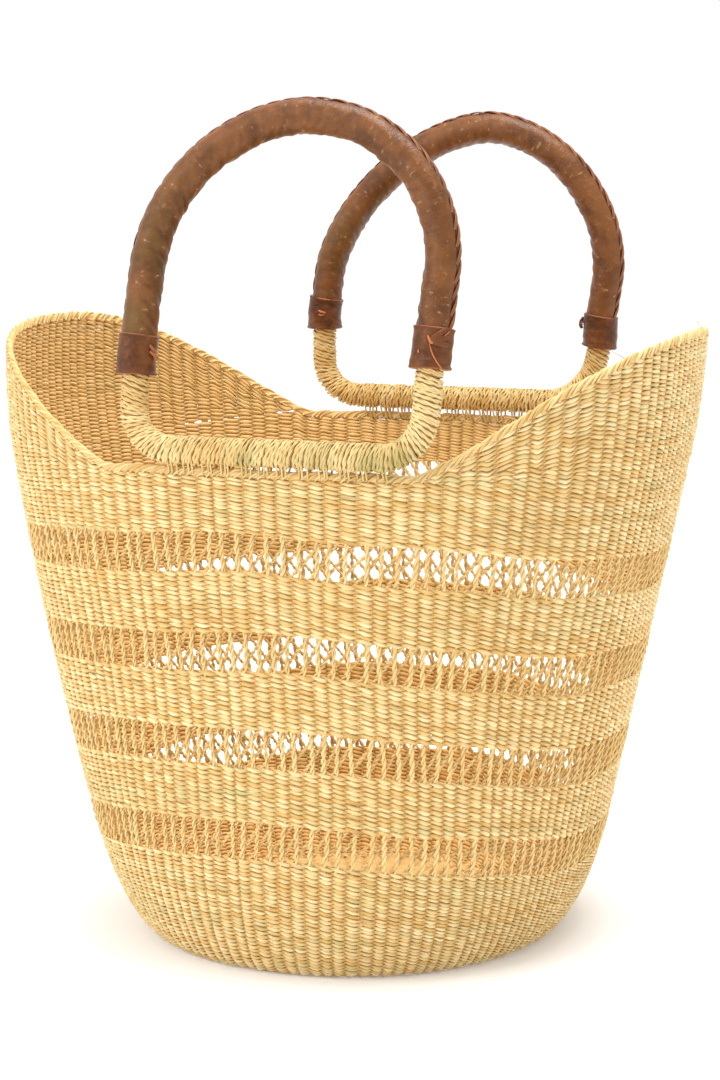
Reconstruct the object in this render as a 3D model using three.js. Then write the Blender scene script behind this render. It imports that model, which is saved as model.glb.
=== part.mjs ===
// Woven market basket: an oval, flared grass basket with high ears at its left and right ends,
// four open lace bands, and two hoop handles that hinge on the rim and have leather grips.
//
// Millimetres. +Z is up, -Y is the front, +X is the right end.
// The origin is the centre of the flat underside.
import * as THREE from 'three';

// ---- driving dimensions: the basket -------------------------------------------------------

const WALL = 5; // thickness of the twined wall and of the bottom
const GAP = 0.4; // space left between neighbouring pieces
const SEGMENTS = 40; // facets round every ring of the wall

// The outline widens with height: half size = foot + flare * z - belly * z^2, less the curl.
const RIGHT_END = { foot: 148.5, flare: 0.204, belly: 0, curl: 0.00103 };
const LEFT_END = { foot: 153.5, flare: 0.296, belly: 0.00025, curl: 0.00122 };
const LONG_SIDE = { foot: 160.5, flare: 0.1, belly: 0, curl: 0 };
const CURL_START = 310; // the ears turn upright above this height

const FOOT_HEIGHT = 80; // the wall rounds into the flat bottom below this height
const FOOT_TUCK = 23; // how far the rounding pulls the outline in at the bottom

const SQUARENESS_AT_BOTTOM = 2.05; // exponent of the oval: 2 is an ellipse
const SQUARENESS_AT_RIM = 2.4;

const RIM_FRONT = 320.7; // height of the rim at the middle of the front
const RIM_REAR = 316.9; // and of the rear
const EAR_TOP = 395.5; // and at the two ends
const RIM_LEVEL_SHARE = 0.46; // share of the half length over which the rim stays level
const RIM_STRAIGHT_RISE = 0.72; // 0 is an S-shaped climb to the ears and 1 a straight one

const LACE_CENTRES = [90.6, 150.1, 209.7, 270.4]; // heights of the lace bands at the middle of the front
const LACE_HEIGHT = 24;
const DROOP_RIGHT = 24; // the bands hang this much lower at the right end
const DROOP_LEFT = 14.5; // and at the left end

const BORDER_RADIUS = 3.1; // the folded border along the rim
const BORDER_SIDES = 6;

const FOOT_LEVELS = 4; // rows of facets up the rounded foot
const TOP_LEVELS = 3; // and up the band that holds the ears

// ---- driving dimensions: the handles ------------------------------------------------------

// Each hoop is a D: a straight bar lashed along the rim, two legs and a round arch.
const FRONT_HANDLE = {
  name: 'front_handle',
  barX: 14,
  barY: -189.5,
  barZ: 331.8,
  lean: 9, // degrees towards the rear
  halfWidth: 92,
  pinch: 0.03, // share by which the bar is shorter than the hoop is wide, on the right
  spring: 107.7, // height above the bar where the arch begins
  top: 198.7,
  skew: 11, // the top of the arch leans this far to the right
  roundness: 1.95,
  barRadius: 8.7,
  gripRadius: 10.9,
  cuffRadius: 12.1,
  cuffLength: 24.5,
  cuffRight: 64.7, // height of each cuff's middle above the bar
  cuffLeft: 55.7,
};
const REAR_HANDLE = {
  name: 'rear_handle',
  barX: 9,
  barY: 189.5,
  barZ: 328,
  lean: 0,
  halfWidth: 102,
  pinch: 0.15,
  spring: 88.5,
  top: 190.5,
  skew: 20,
  roundness: 1.75,
  barRadius: 8.7,
  gripRadius: 11,
  cuffRadius: 12.2,
  cuffLength: 22.5,
  cuffRight: 50.5,
  cuffLeft: 58.5,
};
const HANDLE_CORNER = 25; // bend radius between bar and leg

const CORE_RADIUS = 4.6; // the bent cane inside the handle
const BORE_RADIUS = 5.9; // the hole that the wrapping, cuffs and sleeve leave for it
const CORE_SIDES = 6;
const TUBE_SIDES = 8;
const CORE_STEPS = 64;
const WRAP_STEPS = 30;
const SLEEVE_STEPS = 30;
const CUFF_STEPS = 2;
const TANGENT_STEP = 0.002; // share of the hoop over which its direction is measured
const ARCH_PIECES = 40; // pieces that the arch is measured in
const CORE_BUTT_GAP = 0.6; // the two ends of the cane stop this far apart, inside the bar

const LACING_RADIUS = 1.3; // the sewn seam along the outside of the leather sleeve
const LACING_SIDES = 5;

const LASHING_TURNS = 11; // whip stitches that hold each bar on the rim
const LASHING_PITCH = 12;
const LASHING_RADIUS = 0.6; // the strand
const LASHING_STEPS_PER_TURN = 12;
const LASHING_SIDES = 4;

const KNOT_SIZE = new THREE.Vector3(3.2, 2.2, 3.2); // half sizes of a thong knot on a cuff
const KNOT_FACETS = 6;

// ---- finishes -----------------------------------------------------------------------------

const finish = (colour, roughness) =>
  new THREE.MeshStandardMaterial({ color: colour, roughness, metalness: 0 });
const grass = () => finish(0xe3c98f, 0.75);
const goldenGrass = () => finish(0xd9b469, 0.72);
const wrapGrass = () => finish(0xd8bc7c, 0.72);
const cane = () => finish(0xb08a55, 0.7);
const leather = () => finish(0x7a4a30, 0.45);
const darkLeather = () => finish(0x54291f, 0.45);
const thong = () => finish(0xb5673a, 0.6);

// ---- small helpers ------------------------------------------------------------------------

const radians = (degrees) => (degrees * Math.PI) / 180;
const clamp01 = (value) => Math.min(Math.max(value, 0), 1);

function addMesh(parent, name, geometry, material) {
  const mesh = new THREE.Mesh(geometry, material);
  mesh.name = name;
  parent.add(mesh);
  return mesh;
}

function circlePoints(radius, sides, start = 0) {
  const points = [];
  for (let i = 0; i < sides; i += 1) {
    const angle = start + (i / sides) * Math.PI * 2;
    points.push(new THREE.Vector2(Math.cos(angle) * radius, Math.sin(angle) * radius));
  }
  return points;
}

// ---- the shape of the basket wall ---------------------------------------------------------

function halfSize(law, z) {
  const aboveCurl = Math.max(0, z - CURL_START);
  return law.foot + law.flare * z - law.belly * z * z - law.curl * aboveCurl * aboveCurl;
}

// Point of the oval at plan angle phi and height z, pulled in by inset.
function outlinePoint(phi, z, inset) {
  const end = Math.cos(phi) >= 0 ? RIGHT_END : LEFT_END;
  const halfLength = halfSize(end, z) - inset;
  const halfDepth = halfSize(LONG_SIDE, z) - inset;
  const climb = clamp01(z / RIM_FRONT);
  const squareness = SQUARENESS_AT_BOTTOM + (SQUARENESS_AT_RIM - SQUARENESS_AT_BOTTOM) * climb;
  const sum =
    Math.abs(Math.cos(phi) / halfLength) ** squareness +
    Math.abs(Math.sin(phi) / halfDepth) ** squareness;
  const radius = sum ** (-1 / squareness);
  return new THREE.Vector3(radius * Math.cos(phi), radius * Math.sin(phi), z);
}

// How far round the foot a height is: 0 is flat on the ground and a quarter turn is upright.
function footTurn(z, depth) {
  return Math.acos(1 - clamp01((z - depth) / (FOOT_HEIGHT - depth)));
}

// Point of the wall below FOOT_HEIGHT, by its turn. depth is the distance in from the outside.
function footPoint(phi, turn, depth) {
  const z = depth + (FOOT_HEIGHT - depth) * (1 - Math.cos(turn));
  const inset = depth + (FOOT_TUCK - depth) * (1 - Math.sin(turn));
  return outlinePoint(phi, z, inset);
}

// Point of the wall at any height.
function wallPoint(phi, z, depth) {
  return z < FOOT_HEIGHT ? footPoint(phi, footTurn(z, depth), depth) : outlinePoint(phi, z, depth);
}

// Height of the top of the border at plan angle phi: level in front and rear, high at the ears.
function rimTop(phi) {
  const middle = Math.sin(phi) < 0 ? RIM_FRONT : RIM_REAR;
  const end = Math.cos(phi) >= 0 ? RIGHT_END : LEFT_END;
  const atRim = outlinePoint(phi, RIM_FRONT, 0);
  const along = Math.abs(atRim.x) / halfSize(end, RIM_FRONT);
  const share = clamp01((along - RIM_LEVEL_SHARE) / (1 - RIM_LEVEL_SHARE));
  const sCurve = share * share * (3 - 2 * share);
  const climb = RIM_STRAIGHT_RISE * share + (1 - RIM_STRAIGHT_RISE) * sCurve;
  return middle + (EAR_TOP - middle) * climb;
}

// A line of the weave that is at the given height at the middle of the front.
function drooped(height, phi) {
  const droop = Math.cos(phi) >= 0 ? DROOP_RIGHT : DROOP_LEFT;
  return height - droop * Math.cos(phi) ** 2 * clamp01(height / FOOT_HEIGHT);
}

// A closed ring: sectionAt(phi) gives a loop of points, up the outside and down the inside.
function ringGeometry(sectionAt) {
  const positions = [];
  const indices = [];
  let count = 0;
  for (let i = 0; i < SEGMENTS; i += 1) {
    const section = sectionAt((i / SEGMENTS) * Math.PI * 2);
    count = section.length;
    section.forEach((point) => positions.push(point.x, point.y, point.z));
  }
  for (let i = 0; i < SEGMENTS; i += 1) {
    const here = i * count;
    const next = ((i + 1) % SEGMENTS) * count;
    for (let j = 0; j < count; j += 1) {
      const up = (j + 1) % count;
      indices.push(here + j, next + j, next + up);
      indices.push(here + j, next + up, here + up);
    }
  }
  const geometry = new THREE.BufferGeometry();
  geometry.setAttribute('position', new THREE.Float32BufferAttribute(positions, 3));
  geometry.setIndex(indices);
  geometry.computeVertexNormals();
  return geometry;
}

// Section of a plain band of wall between two heights, with extra levels in between.
function bandSection(phi, bottom, top, levels) {
  const outside = [];
  const inside = [];
  for (let i = 0; i <= levels; i += 1) {
    const z = bottom + ((top - bottom) * i) / levels;
    outside.push(wallPoint(phi, z, 0));
    inside.unshift(wallPoint(phi, z, WALL));
  }
  return [...outside, ...inside];
}

// ---- pieces of the basket -----------------------------------------------------------------

function baseGeometry() {
  const points = [];
  for (let i = 0; i < SEGMENTS; i += 1) {
    const edge = outlinePoint((i / SEGMENTS) * Math.PI * 2, 0, FOOT_TUCK + GAP);
    points.push(new THREE.Vector2(edge.x, edge.y));
  }
  return new THREE.ExtrudeGeometry(new THREE.Shape(points), { depth: WALL, bevelEnabled: false });
}

function footBandGeometry() {
  return ringGeometry((phi) => {
    const top = drooped(LACE_CENTRES[0] - LACE_HEIGHT / 2, phi) - GAP;
    const outside = [];
    const inside = [];
    for (let i = 0; i <= FOOT_LEVELS; i += 1) {
      outside.push(footPoint(phi, (footTurn(top, 0) * i) / FOOT_LEVELS, 0));
      inside.unshift(footPoint(phi, (footTurn(top, WALL) * i) / FOOT_LEVELS, WALL));
    }
    return [...outside, ...inside];
  });
}

function plainBandGeometry(bottom, top) {
  return ringGeometry((phi) =>
    bandSection(phi, drooped(bottom, phi), drooped(top, phi) - GAP, 1),
  );
}

function topBandGeometry(bottom) {
  return ringGeometry((phi) => {
    const top = rimTop(phi) - 2 * BORDER_RADIUS - GAP;
    return bandSection(phi, drooped(bottom, phi), top, TOP_LEVELS);
  });
}

function borderGeometry() {
  return ringGeometry((phi) => {
    const centreZ = rimTop(phi) - BORDER_RADIUS;
    const middle = outlinePoint(phi, centreZ, WALL / 2);
    const radius = Math.hypot(middle.x, middle.y);
    return circlePoints(BORDER_RADIUS, BORDER_SIDES, -Math.PI / 2).map((point) => {
      const reach = radius + point.x;
      return new THREE.Vector3(reach * Math.cos(phi), reach * Math.sin(phi), centreZ + point.y);
    });
  });
}

function addBasket(parent) {
  addMesh(parent, 'base_weave', baseGeometry(), grass());
  addMesh(parent, 'dense_band_1', footBandGeometry(), grass());
  LACE_CENTRES.forEach((centre, i) => {
    const laceBottom = centre - LACE_HEIGHT / 2;
    const laceTop = centre + LACE_HEIGHT / 2;
    addMesh(parent, `lace_band_${i + 1}`, plainBandGeometry(laceBottom, laceTop), goldenGrass());
    if (i < LACE_CENTRES.length - 1) {
      const nextLace = LACE_CENTRES[i + 1] - LACE_HEIGHT / 2;
      addMesh(parent, `dense_band_${i + 2}`, plainBandGeometry(laceTop, nextLace), grass());
    } else {
      addMesh(parent, `dense_band_${i + 2}`, topBandGeometry(laceTop), grass());
    }
  });
  addMesh(parent, 'rim_border', borderGeometry(), grass());
}

// ---- the handles --------------------------------------------------------------------------

// Centre line of a hoop in its own plane: x along the bar and z up from it. It starts and ends
// at the middle of the bar and runs up the right leg and down the left one.
class HoopLine extends THREE.Curve {
  constructor(handle) {
    super();
    this.handle = handle;
    const arch = this.archLength();
    this.lengths = [
      handle.halfWidth - HANDLE_CORNER,
      (Math.PI / 2) * HANDLE_CORNER,
      handle.spring - HANDLE_CORNER,
      arch,
    ];
    this.halfLength = this.lengths.reduce((sum, length) => sum + length, 0);
  }

  archPoint(share) {
    const { halfWidth, spring, top, roundness } = this.handle;
    const angle = (share * Math.PI) / 2;
    const x = halfWidth * Math.cos(angle) ** (2 / roundness);
    const height = spring + (top - spring) * Math.sin(angle) ** (2 / roundness);
    return [share >= 1 ? 0 : x, height];
  }

  archLength() {
    let length = 0;
    let [lastX, lastHeight] = this.archPoint(0);
    for (let i = 1; i <= ARCH_PIECES; i += 1) {
      const [x, height] = this.archPoint(i / ARCH_PIECES);
      length += Math.hypot(x - lastX, height - lastHeight);
      lastX = x;
      lastHeight = height;
    }
    return length;
  }

  // Point at a distance from the middle of the bar, on the right half.
  halfPoint(distance) {
    const [bar, corner, leg, arch] = this.lengths;
    const { halfWidth } = this.handle;
    if (distance <= bar) {
      return [distance, 0];
    }
    if (distance <= bar + corner) {
      const turn = (distance - bar) / HANDLE_CORNER;
      return [bar + HANDLE_CORNER * Math.sin(turn), HANDLE_CORNER * (1 - Math.cos(turn))];
    }
    if (distance <= bar + corner + leg) {
      return [halfWidth, HANDLE_CORNER + distance - bar - corner];
    }
    return this.archPoint(Math.min(1, (distance - bar - corner - leg) / arch));
  }

  getPoint(t) {
    const onRight = t <= 0.5;
    const distance = (onRight ? t : 1 - t) * 2 * this.halfLength;
    const [x, height] = this.halfPoint(distance);
    const { top, skew, pinch, cuffLeft, cuffRight } = this.handle;
    const shift = skew * clamp01((height - cuffLeft) / (top - cuffLeft));
    const share = clamp01(1 - height / cuffRight);
    const side = onRight ? 1 - pinch * share * share : -1;
    return new THREE.Vector3(x * side + shift, 0, height);
  }

  // The curve parameter of a point on a leg, given its height above the bar.
  legParameter(height, right) {
    const [bar, corner] = this.lengths;
    const distance = bar + corner + height - HANDLE_CORNER;
    const share = distance / (2 * this.halfLength);
    return right ? share : 1 - share;
  }
}

// The same hoop, with parameters below 0 taken from the end of the line, so that a stretch can
// run through the middle of the bar.
class WrapLine extends THREE.Curve {
  constructor(line) {
    super();
    this.line = line;
  }

  getPoint(t) {
    return this.line.getPoint(t < 0 ? t + 1 : t);
  }
}

// Part of a curve, between two of its parameters, moved outward in the hoop's plane.
class Stretch extends THREE.Curve {
  constructor(whole, from, to, outward = 0) {
    super();
    this.whole = whole;
    this.from = from;
    this.to = to;
    this.outward = outward;
  }

  getPoint(t) {
    const place = this.from + (this.to - this.from) * t;
    const point = this.whole.getPoint(place);
    if (this.outward === 0) {
      return point;
    }
    const before = this.whole.getPoint(place - TANGENT_STEP);
    const after = this.whole.getPoint(place + TANGENT_STEP);
    const along = after.sub(before).normalize();
    return point.add(new THREE.Vector3(along.z, 0, -along.x).multiplyScalar(this.outward));
  }
}

// The strand that is whipped round the bar, a helix along it.
class LashingLine extends THREE.Curve {
  constructor(radius) {
    super();
    this.radius = radius;
  }

  getPoint(t) {
    const angle = t * LASHING_TURNS * Math.PI * 2;
    const x = (t - 0.5) * LASHING_TURNS * LASHING_PITCH;
    return new THREE.Vector3(x, this.radius * Math.cos(angle), this.radius * Math.sin(angle));
  }
}

function tubeGeometry(curve, radius, sides, steps, boreRadius = 0) {
  const shape = new THREE.Shape(circlePoints(radius, sides));
  if (boreRadius > 0) {
    shape.holes.push(new THREE.Path(circlePoints(boreRadius, sides).reverse()));
  }
  return new THREE.ExtrudeGeometry(shape, { steps, extrudePath: curve, bevelEnabled: false });
}

function addKnot(group, handle, line, side) {
  const right = side === 'right';
  const height = right ? handle.cuffRight : handle.cuffLeft;
  const knot = addMesh(
    group,
    `${handle.name}_thong_knot_${side}`,
    new THREE.SphereGeometry(1, KNOT_FACETS, KNOT_FACETS).scale(...KNOT_SIZE.toArray()),
    thong(),
  );
  knot.position.copy(line.getPoint(line.legParameter(height, right)));
  knot.position.y = -(handle.cuffRadius + KNOT_SIZE.y + GAP);
}

function addHandle(parent, handle) {
  const group = new THREE.Group();
  group.position.set(handle.barX, handle.barY, handle.barZ);
  group.rotation.x = -radians(handle.lean);
  parent.add(group);

  const line = new HoopLine(handle);
  const perimeter = 2 * line.halfLength;
  const gap = GAP / perimeter;
  const halfCuff = handle.cuffLength / 2;
  const rightLow = line.legParameter(handle.cuffRight - halfCuff, true);
  const rightHigh = line.legParameter(handle.cuffRight + halfCuff, true);
  const leftHigh = line.legParameter(handle.cuffLeft + halfCuff, false);
  const leftLow = line.legParameter(handle.cuffLeft - halfCuff, false);
  const butt = CORE_BUTT_GAP / 2 / perimeter;

  const core = new Stretch(line, butt, 1 - butt);
  const coreTube = tubeGeometry(core, CORE_RADIUS, CORE_SIDES, CORE_STEPS);
  addMesh(group, `${handle.name}_cane_core`, coreTube, cane());

  const sleeve = new Stretch(line, rightHigh + gap, leftHigh - gap);
  const sleeveTube = tubeGeometry(
    sleeve,
    handle.gripRadius,
    TUBE_SIDES,
    SLEEVE_STEPS,
    BORE_RADIUS,
  );
  addMesh(group, `${handle.name}_leather_sleeve`, sleeveTube, leather());

  // The wrapped stretch runs through the middle of the bar, from the left leg to the right one.
  const wrap = new Stretch(new WrapLine(line), leftLow - 1 + gap, rightLow - gap);
  const wrapTube = tubeGeometry(wrap, handle.barRadius, TUBE_SIDES, WRAP_STEPS, BORE_RADIUS);
  addMesh(group, `${handle.name}_straw_wrap`, wrapTube, wrapGrass());

  [['right', rightLow, rightHigh], ['left', leftHigh, leftLow]].forEach(([side, from, to]) => {
    const cuff = new Stretch(line, from, to);
    const cuffTube = tubeGeometry(cuff, handle.cuffRadius, TUBE_SIDES, CUFF_STEPS, BORE_RADIUS);
    addMesh(group, `${handle.name}_cuff_${side}`, cuffTube, darkLeather());
    addKnot(group, handle, line, side);
  });

  const seamReach = handle.gripRadius + LACING_RADIUS + GAP;
  const seam = new Stretch(line, rightHigh + gap, leftHigh - gap, seamReach);
  const seamTube = tubeGeometry(seam, LACING_RADIUS, LACING_SIDES, SLEEVE_STEPS);
  addMesh(group, `${handle.name}_seam_lacing`, seamTube, thong());

  const facetReach = Math.cos(Math.PI / LASHING_STEPS_PER_TURN);
  const lashingReach = (handle.barRadius + GAP + LASHING_RADIUS) / facetReach;
  const lashingTube = tubeGeometry(
    new LashingLine(lashingReach),
    LASHING_RADIUS,
    LASHING_SIDES,
    LASHING_TURNS * LASHING_STEPS_PER_TURN,
  );
  const lashingName = handle.name.replace('handle', 'lashing');
  const lashing = addMesh(parent, lashingName, lashingTube, goldenGrass());
  lashing.position.copy(group.position);
}

// ---- the whole object ---------------------------------------------------------------------

const basket = new THREE.Group();
addBasket(basket);
addHandle(basket, FRONT_HANDLE);
addHandle(basket, REAR_HANDLE);

export default basket;
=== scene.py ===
"""The looks of the woven market basket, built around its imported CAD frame.

Metres. +Z is up, -Y is the front and +X is the right end. Every wall and handle shape below repeats
the laws of the CAD model, so that the strands lie where the plain CAD solids are.
"""
import math

import bpy
import numpy as np
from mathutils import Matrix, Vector


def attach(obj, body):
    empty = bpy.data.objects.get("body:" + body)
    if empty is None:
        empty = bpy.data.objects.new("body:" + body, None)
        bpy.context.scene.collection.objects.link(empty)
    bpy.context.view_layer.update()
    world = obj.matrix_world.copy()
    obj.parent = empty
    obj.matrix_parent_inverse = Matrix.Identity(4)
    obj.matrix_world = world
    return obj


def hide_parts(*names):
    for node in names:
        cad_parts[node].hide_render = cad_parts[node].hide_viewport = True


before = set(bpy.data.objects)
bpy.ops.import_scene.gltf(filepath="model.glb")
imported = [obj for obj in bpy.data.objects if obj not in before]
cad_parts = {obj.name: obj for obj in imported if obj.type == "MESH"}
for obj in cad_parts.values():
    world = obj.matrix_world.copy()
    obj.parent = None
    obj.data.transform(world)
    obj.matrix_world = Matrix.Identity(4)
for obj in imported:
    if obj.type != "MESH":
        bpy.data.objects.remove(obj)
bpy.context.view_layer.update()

# ---- driving dimensions of the wall (as in the CAD model) ----

MM = 0.001
WALL = 5 * MM
RIGHT_END = {"foot": 0.1485, "flare": 0.204, "belly": 0.0, "curl": 1.03}
LEFT_END = {"foot": 0.1535, "flare": 0.296, "belly": 0.25, "curl": 1.22}
LONG_SIDE = {"foot": 0.1605, "flare": 0.1, "belly": 0.0, "curl": 0.0}
CURL_START = 0.310
FOOT_HEIGHT = 0.080
FOOT_TUCK = 0.023
SQUARENESS_AT_BOTTOM = 2.05
SQUARENESS_AT_RIM = 2.4
RIM_FRONT = 0.3207
RIM_REAR = 0.3169
EAR_TOP = 0.3955
RIM_LEVEL_SHARE = 0.46
RIM_STRAIGHT_RISE = 0.72
LACE_CENTRES = (0.0906, 0.1501, 0.2097, 0.2704)
LACE_HEIGHT = 0.024
DROOP_RIGHT = 0.024
DROOP_LEFT = 0.0145
BORDER_RADIUS = 3.1 * MM
TOP_ROW_DEPTH = 1.25 * BORDER_RADIUS  # from the top of the border down to the last row of the weave
STAKE_TOP_DEPTH = 1.5 * BORDER_RADIUS

# ---- driving dimensions of the handles (as in the CAD model) ----
# Heights are above the bar, and bar, grip and cuff are radii. The straw is green past green_from.

FRONT_HANDLE = {
    "name": "front_handle", "bar_x": 0.014, "bar_y": -0.1895, "bar_z": 0.3318, "lean": 9,
    "half_width": 0.092, "pinch": 0.03, "spring": 0.1077, "top": 0.1987, "skew": 0.011, "roundness": 1.95,
    "bar": 8.7 * MM, "grip": 10.9 * MM, "cuff": 12.1 * MM, "cuff_length": 24.5 * MM,
    "cuff_right": 0.0647, "cuff_left": 0.0557,
    "wrap_pitch": 2.45 * MM, "green_from": -0.030, "gold": 0.0, "seed": 11,
}
REAR_HANDLE = {
    "name": "rear_handle", "bar_x": 0.009, "bar_y": 0.1895, "bar_z": 0.328, "lean": 0,
    "half_width": 0.102, "pinch": 0.15, "spring": 0.0885, "top": 0.1905, "skew": 0.020, "roundness": 1.75,
    "bar": 8.7 * MM, "grip": 11 * MM, "cuff": 12.2 * MM, "cuff_length": 22.5 * MM,
    "cuff_right": 0.0505, "cuff_left": 0.0585,
    "wrap_pitch": 2.5 * MM, "green_from": 1.0, "gold": 0.3, "seed": 12,
}
HANDLE_CORNER = 25 * MM
LASHING_TURNS = 11
LASHING_PITCH = 12 * MM
WRAP_STEPS = 28  # points of the wound cord in each turn
WRAP_TILT = 0.24  # slant of each turn of the cord, as a share of the bar's radius
UNDERLAY_DEPTH = 2.1 * MM  # depth of the first layer of straw below the wound cord
WRAP_DEPTH = 1.05 * MM  # depth of the cord's middle below the surface of the bar
WRAP_PLY_TWISTS = 3.7  # twists of the two plies in each turn round the bar
WRAP_PLY_SWING = 0.50 * MM
WRAP_PLY_RISE = 0.38 * MM
WRAP_PLY_WIDE = 0.84 * MM
WRAP_PLY_THICK = 0.66 * MM
LASHED_LENGTH = 0.100  # the border is lifted this far to each side of the middle
RIM_LIFT_FADE = 0.030  # and the lift fades out over this last part
RIM_LIFT = 1.1 * MM  # the border is pulled up to the front bar by this much
BORE_RINGS = 40  # most rings of points along the bore of the grip or of a cuff
GRIP_BORE = 5.9 * MM
CUFF_BORE = 8.2 * MM
SEAM_PITCH = 9.4 * MM
SEAM_LOW = 0.32  # angles from the outside of the hoop to the two edges of the seam
SEAM_HIGH = 0.30
LASH_STEPS = 40
LASH_STRANDS = 3
LASH_SPACING = 2.6 * MM
LASH_SLANT = 2.4 * MM
LASH_DEPTH_FRONT = 2.2 * MM  # depth of the lower end of a loop below the top of the rim
LASH_DEPTH_REAR = 2.6 * MM
LASH_LOW_RADIUS_FRONT = 1.2 * MM  # radius of a loop's lower end, which the border hides in front
LASH_LOW_RADIUS_REAR = 2.9 * MM
LASH_LIFT = -0.25 * MM  # the loops are pressed a little into the straw
LASH_HALF_WIDE = 0.65 * MM
LASH_HALF_THICK = 0.4 * MM

# ---- driving dimensions of the weave ----

STAKES = 132  # upright cords round the wall
STAKE_LEVEL = 0.250  # height at which they are evenly spaced
STEPS_PER_STITCH = 6
STRAND_SIDES = 6
UV_CHUNK = 120  # rings of points in each stretch of the UV layout
STRAND_REACH = 1.35 * MM  # how far a twined strand swings out and in round the stakes
STRAND_HALF_THICK = 1.0 * MM
STITCH_WIDTH = 0.26  # half width of a strand between two stakes, as a share of its row
STITCH_SWELL = 0.29  # and how much it gains on the stakes
GAP_PAINTED_SHADE = 0.65  # painted shade: how much deeper the grass is coloured where it dips in between two stakes
STITCH_FALL = 0.24  # how far a stitch falls from its left to its right end, as a share of its row
BASE_OUTER_SHARE = 0.55  # rows of the bottom that twist round every second stake, not every fourth
FOOT_ROWS = 30
FOOT_PARTS = 3  # objects that the rows of the foot are shared out to, each under 200,000 triangles
BASE_PARTS = 3  # and those of the bottom
BAND_PARTS = 2  # and those of each plain band
EAR_PARTS = 5  # and those of the band up to the rim
BAND_ROW_PITCH = 2.85 * MM
TOP_ROWS_AT_MIDDLE = 14
TOP_ROWS_AT_EARS = 48
BASE_ROW_PITCH = 3.0 * MM
EAR_STAKE_LEVEL = 0.33  # height whose stake spacing is used in the band up to the rim
SHORT_ROW_RUN_IN = 1.6  # rows of climb over which a short row grows to its full height
JOINS = 14  # places in a row where a new bundle of grass was joined in
GREEN_BUNDLES = 0.11  # share of the bundles that are greenish
SLIT_REACH = 2.2 * MM  # the stakes are narrower this far above and below a slit
STAKE_COVER = 0.45  # half width of a stake inside a dense band, as a share of the stake spacing
FOLD_RUN = 1.7  # stakes that one fold of the border runs over
STRAY_ENDS = 46
UPRIGHT_RADIUS = 1.55 * MM
SLANT_RADIUS = 1.35 * MM
SLANT_RUN = 2.2  # stakes that a slanted lace cord crosses
UPRIGHT_TUCK = 3 * MM  # length of each end that is hidden in the dense bands
SLANT_TUCK = 2.5 * MM

# ---- looks, floor, light and camera: values ----

STRAW_ROUGHNESS = 0.52
FLOOR_SIZE = 60
CAMERA_PLACE = (0.6165, -1.7645, 0.5359)
CAMERA_AIM = (0, 0, 0.253)
CAMERA_LENS = 96.4
LIGHT_AIM = (0, 0, 0.25)

rng = np.random.default_rng(20)


# ---- the shape of the wall ----

def unit(vectors):
    return vectors / np.maximum(np.linalg.norm(vectors, axis=-1, keepdims=True), 1e-12)


def smooth_step(share):
    return share * share * (3 - 2 * share)


def distances_along(path):
    steps = np.linalg.norm(np.diff(path, axis=0), axis=1)
    return np.concatenate([[0], np.cumsum(steps)])


def half_size(law, z):
    above = np.maximum(0.0, z - CURL_START)
    return law["foot"] + law["flare"] * z - law["belly"] * z * z - law["curl"] * above * above


def half_length(phi, z):
    return np.where(np.cos(phi) >= 0, half_size(RIGHT_END, z), half_size(LEFT_END, z))


def outline(phi, z, inset):
    """Points of the oval at plan angle phi and height z, pulled in by inset."""
    cosine, sine = np.cos(phi), np.sin(phi)
    half_depth = half_size(LONG_SIDE, z) - inset
    climb = np.clip(z / RIM_FRONT, 0, 1)
    power = SQUARENESS_AT_BOTTOM + (SQUARENESS_AT_RIM - SQUARENESS_AT_BOTTOM) * climb
    total = np.abs(cosine / (half_length(phi, z) - inset)) ** power + np.abs(sine / half_depth) ** power
    radius = total ** (-1 / power)
    return np.stack([radius * cosine, radius * sine, z + 0 * phi], axis=-1)


def rim_top(phi):
    """Height of the top of the border: level in front and rear, high at the ears."""
    middle = np.where(np.sin(phi) < 0, RIM_FRONT, RIM_REAR)
    along = np.abs(outline(phi, RIM_FRONT + 0 * phi, 0)[..., 0]) / half_length(phi, RIM_FRONT)
    share = np.clip((along - RIM_LEVEL_SHARE) / (1 - RIM_LEVEL_SHARE), 0, 1)
    climb = RIM_STRAIGHT_RISE * share + (1 - RIM_STRAIGHT_RISE) * smooth_step(share)
    return middle + (EAR_TOP - middle) * climb


def drooped(height, phi):
    """Level of a line of the weave that is at the given height at the middle of the front."""
    droop = np.where(np.cos(phi) >= 0, DROOP_RIGHT, DROOP_LEFT) * np.cos(phi) ** 2
    return height - droop * np.clip(height / FOOT_HEIGHT, 0, 1)


def make_profile(depth):
    """The rounded foot: distances along its profile from the ground edge, and the turn at each."""
    turn = np.linspace(0, np.pi / 2, 400)
    speed = np.hypot((FOOT_HEIGHT - depth) * np.sin(turn), (FOOT_TUCK - depth) * np.cos(turn))
    steps = (speed[1:] + speed[:-1]) / 2 * np.diff(turn)
    return np.concatenate([[0], np.cumsum(steps)]), turn


PROFILE_DISTANCE, PROFILE_TURN = make_profile(WALL / 2)


def wall_surface(phi, z):
    """The middle surface of the wall at any height."""
    depth = WALL / 2
    turn = np.arccos(1 - np.clip((z - depth) / (FOOT_HEIGHT - depth), 0, 1))
    return outline(phi, z, depth + (FOOT_TUCK - depth) * (1 - np.sin(turn)))


def foot_surface(phi, distance):
    """The middle surface of the rounded foot, by distance from the ground edge."""
    depth = WALL / 2
    turn = np.interp(distance, PROFILE_DISTANCE, PROFILE_TURN)
    z = depth + (FOOT_HEIGHT - depth) * (1 - np.cos(turn))
    inset = depth + (FOOT_TUCK - depth) * (1 - np.sin(turn))
    return outline(phi, z, inset)


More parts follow.
